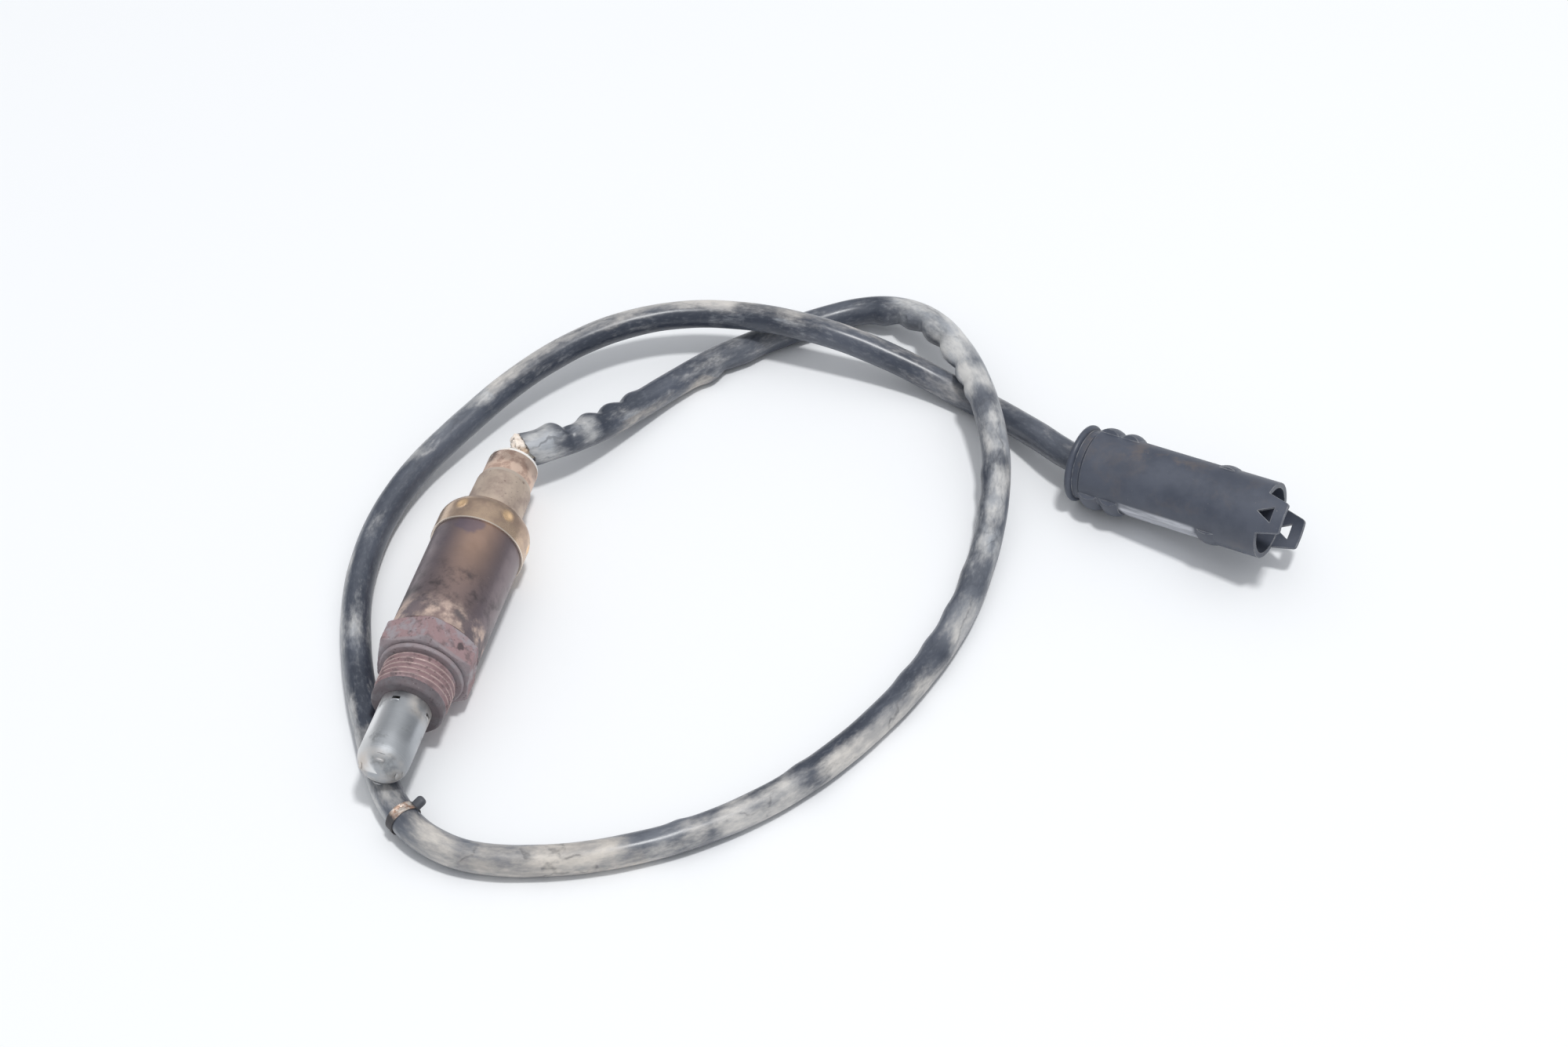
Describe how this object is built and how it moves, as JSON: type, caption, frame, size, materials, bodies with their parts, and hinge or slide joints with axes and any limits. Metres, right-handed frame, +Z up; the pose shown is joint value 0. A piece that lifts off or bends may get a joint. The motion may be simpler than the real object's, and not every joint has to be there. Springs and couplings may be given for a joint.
{
  "type": "oxygen sensor",
  "caption": "Heated exhaust oxygen sensor: slitted tube, threaded hex body and stepped steel sleeve, with a looped sheathed cable to a round latching connector.",
  "frame": {"origin": "on the surface that the sensor lies on, under the middle of the probe", "axes": "+Y along the probe from its closed end to the cable, +Z up, +X towards the connector"},
  "size_m": [0.2259, 0.2011, 0.0268],
  "materials": {
    "tube_steel": "satin",
    "rusted_steel": "matte",
    "heat_tinted_steel": "satin",
    "golden_steel": "satin",
    "bright_steel": "satin",
    "zirconia": "matte",
    "ceramic": "matte",
    "talc": "matte",
    "white_ptfe": "satin",
    "glass_fibre": "matte",
    "wire_black": "satin",
    "wire_grey": "satin",
    "wire_white": "satin",
    "cable_rubber": "satin",
    "tie_bronze": "satin",
    "connector_plastic": "satin",
    "seal_rubber": "matte",
    "tinned_brass": "satin"
  },
  "bodies": {
    "root": {"body_sleeve": "heat_tinted_steel", "braid_liner": "glass_fibre", "cable_grommet": "white_ptfe", "cable_sheath": "cable_rubber", "cable_tie": "tie_bronze", "cap_sleeve": "golden_steel", "connector_shell": "connector_plastic", "contact_carrier": "connector_plastic", "contact_ground": "bright_steel", "contact_heater_1": "bright_steel", "contact_heater_2": "bright_steel", "contact_signal": "bright_steel", "disc_spring": "bright_steel", "lead_wire_ground": "wire_grey", "lead_wire_heater_1": "wire_white", "lead_wire_heater_2": "wire_white", "lead_wire_signal": "wire_black", "powder_packing": "talc", "protection_tube": "tube_steel", "rear_seal": "seal_rubber", "rod_heater": "ceramic", "sealing_washer": "rusted_steel", "seat_ring": "bright_steel", "sensing_element": "zirconia", "sensor_housing": "rusted_steel", "support_ceramic": "ceramic", "tail_wire_ground": "wire_grey", "tail_wire_heater_1": "wire_white", "tail_wire_heater_2": "wire_white", "tail_wire_signal": "wire_black", "terminal_ground": "tinned_brass", "terminal_heater_1": "tinned_brass", "terminal_heater_2": "tinned_brass", "terminal_signal": "tinned_brass"}
  },
  "joints": []
}
